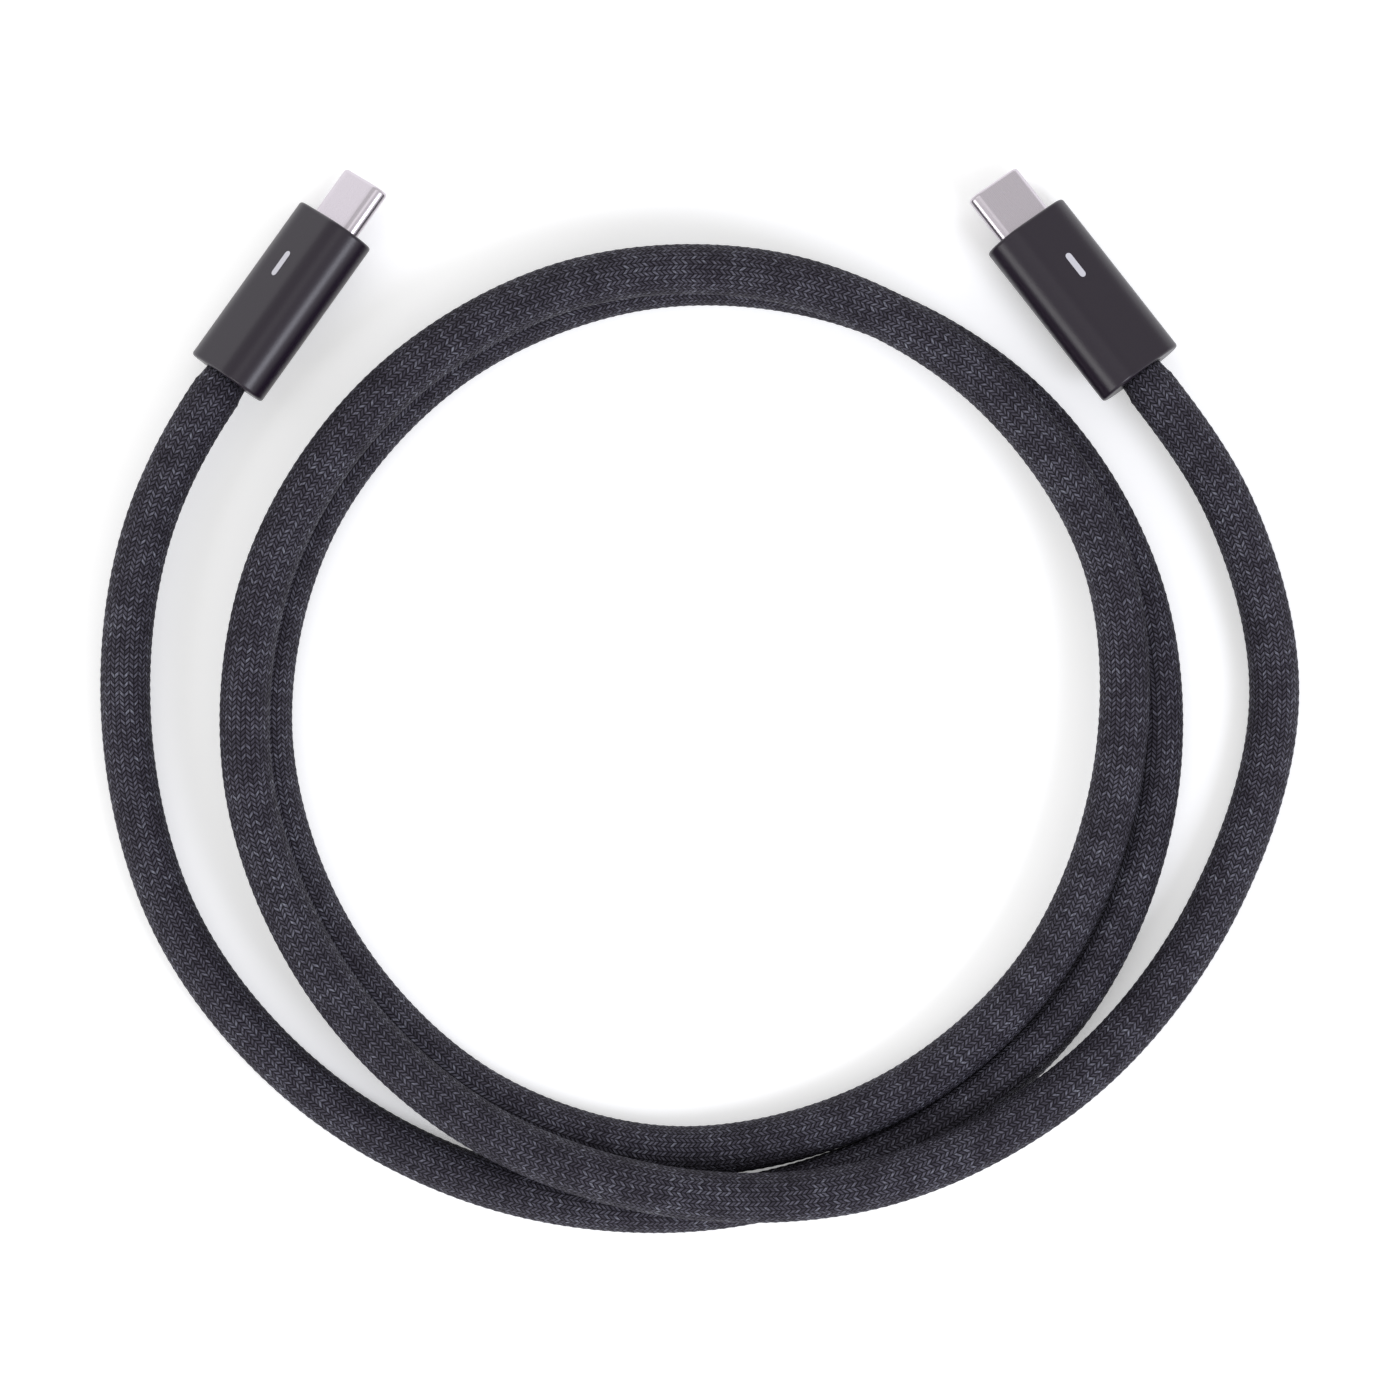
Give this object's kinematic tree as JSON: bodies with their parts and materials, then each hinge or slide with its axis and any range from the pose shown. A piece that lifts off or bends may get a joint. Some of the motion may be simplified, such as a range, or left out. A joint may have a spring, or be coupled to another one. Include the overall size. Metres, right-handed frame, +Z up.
{
  "type": "charging cable",
  "caption": "Braided charging cable lying in a loose coil, with an oval reversible metal plug in a slim boot on each end; each plug swings where the cord enters it.",
  "frame": {"origin": "on the table under the middle of the coiled cable's outline", "axes": "+Z up from the table, +X across the coil from the left plug's side to the right plug's side, +Y towards the plugs"},
  "size_m": [0.1496, 0.1327, 0.0134],
  "materials": {
    "braid": "tight two-over-two herringbone braid, charcoal with bluish-grey flecks",
    "boot_plastic": "hard satin black with a fine grain",
    "nickel_shell": "satin nickel on the flats, polished on the rounded sides",
    "insulator": "black moulded insulator",
    "gold_contact": "thin gold plating",
    "spring_steel": "plain spring steel",
    "tinned_steel": "tinned sheet",
    "circuit_board": "green solder mask",
    "chip_black": "moulded chip package",
    "inner_jacket": "smooth flexible jacket",
    "copper_braid": "tinned copper braid",
    "signal_insulation": "thin wire insulation",
    "power_insulation": "thin wire insulation",
    "moulding": "soft inner moulding",
    "print_grey": "thin light grey print"
  },
  "bodies": {
    "cord": {"braided_cord": "braid", "left_cord_end": "inner_jacket", "right_cord_end": "inner_jacket"},
    "left_plug": {"left_boot": "boot_plastic", "left_inner_mould": "moulding", "left_shield_can_upper": "tinned_steel", "left_shield_can_lower": "tinned_steel", "left_plug_shell": "nickel_shell", "left_contact_block": "insulator", "left_contacts_upper": "gold_contact", "left_contacts_lower": "gold_contact", "left_latch_plate": "spring_steel", "left_ground_spring_upper": "spring_steel", "left_ground_spring_lower": "spring_steel", "left_circuit_card": "circuit_board", "left_card_chips": "chip_black", "left_jacket_end": "inner_jacket", "left_shield_collar": "copper_braid", "left_crimp_ferrule": "tinned_steel", "left_signal_wires": "signal_insulation", "left_power_wires": "power_insulation", "left_printed_bar": "print_grey"},
    "right_plug": {"right_boot": "boot_plastic", "right_inner_mould": "moulding", "right_shield_can_upper": "tinned_steel", "right_shield_can_lower": "tinned_steel", "right_plug_shell": "nickel_shell", "right_contact_block": "insulator", "right_contacts_upper": "gold_contact", "right_contacts_lower": "gold_contact", "right_latch_plate": "spring_steel", "right_ground_spring_upper": "spring_steel", "right_ground_spring_lower": "spring_steel", "right_circuit_card": "circuit_board", "right_card_chips": "chip_black", "right_jacket_end": "inner_jacket", "right_shield_collar": "copper_braid", "right_crimp_ferrule": "tinned_steel", "right_signal_wires": "signal_insulation", "right_power_wires": "power_insulation", "right_printed_bar": "print_grey"}
  },
  "joints": [
    {"name": "left_plug_swing", "type": "hinge", "parent": "cord", "child": "left_plug", "pos_m": [-0.059, 0.0401, 0.00629], "axis": [0, 0, 1], "range_deg": [-15, 15], "stiffness_Nm_per_rad": 0.004},
    {"name": "right_plug_swing", "type": "hinge", "parent": "cord", "child": "right_plug", "pos_m": [0.0549, 0.0406, 0.00649], "axis": [0, 0, 1], "range_deg": [-15, 15], "stiffness_Nm_per_rad": 0.004}
  ]
}
